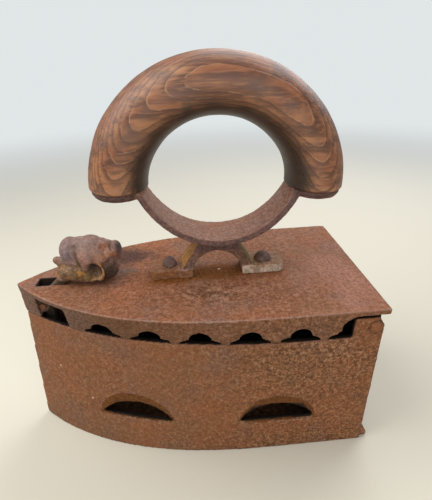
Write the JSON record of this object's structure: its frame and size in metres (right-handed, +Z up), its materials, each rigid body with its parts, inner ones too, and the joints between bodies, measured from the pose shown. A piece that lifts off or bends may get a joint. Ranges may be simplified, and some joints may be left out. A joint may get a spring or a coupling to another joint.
{
  "type": "charcoal clothes iron",
  "caption": "Rusty cast iron charcoal box iron: boat-shaped tub with draught vents, hinged scalloped lid, figural nose latch and an arched wooden grip on a cast bracket.",
  "frame": {"origin": "middle of the overall box, on the table under the sole", "axes": "+Z up out of the lid to the grip, +X from the nose towards the hinge, +Y across the iron"},
  "size_m": [0.219, 0.1116, 0.2345],
  "materials": {
    "body_iron": "matt brown rust, pitted",
    "lid_iron": "matt reddish brown rust, pitted, orange round the feet",
    "bracket_iron": "matt rust with orange on the legs and pale specks",
    "latch_iron": "worn purplish brown rust, crusted low down",
    "grate_iron": "burnt, dark rust",
    "pin_iron": "rusted",
    "screw_iron": "rusted",
    "grip_wood": "dark brown, charred and scuffed, dull wax"
  },
  "bodies": {
    "tub": {"body": "body_iron", "hinge_pin": "pin_iron", "fire_grate": "grate_iron"},
    "lid": {"lid": "lid_iron", "handle_bracket": "bracket_iron", "wooden_grip": "grip_wood", "grip_screw_front": "screw_iron", "grip_screw_rear": "screw_iron", "foot_screw_front": "screw_iron", "foot_screw_rear": "screw_iron", "foot_nut_front": "screw_iron", "foot_nut_rear": "screw_iron", "latch_pin": "pin_iron"},
    "latch": {"latch": "latch_iron"}
  },
  "joints": [
    {"name": "lid_hinge", "type": "hinge", "parent": "tub", "child": "lid", "pos_m": [0.0997, 0, 0.0952], "axis": [0, 1, 0], "range_deg": [0, 105]},
    {"name": "latch_pivot", "type": "hinge", "parent": "lid", "child": "latch", "pos_m": [-0.0902, 0, 0.0957], "axis": [0, -1, 0], "range_deg": [0, 34]}
  ]
}
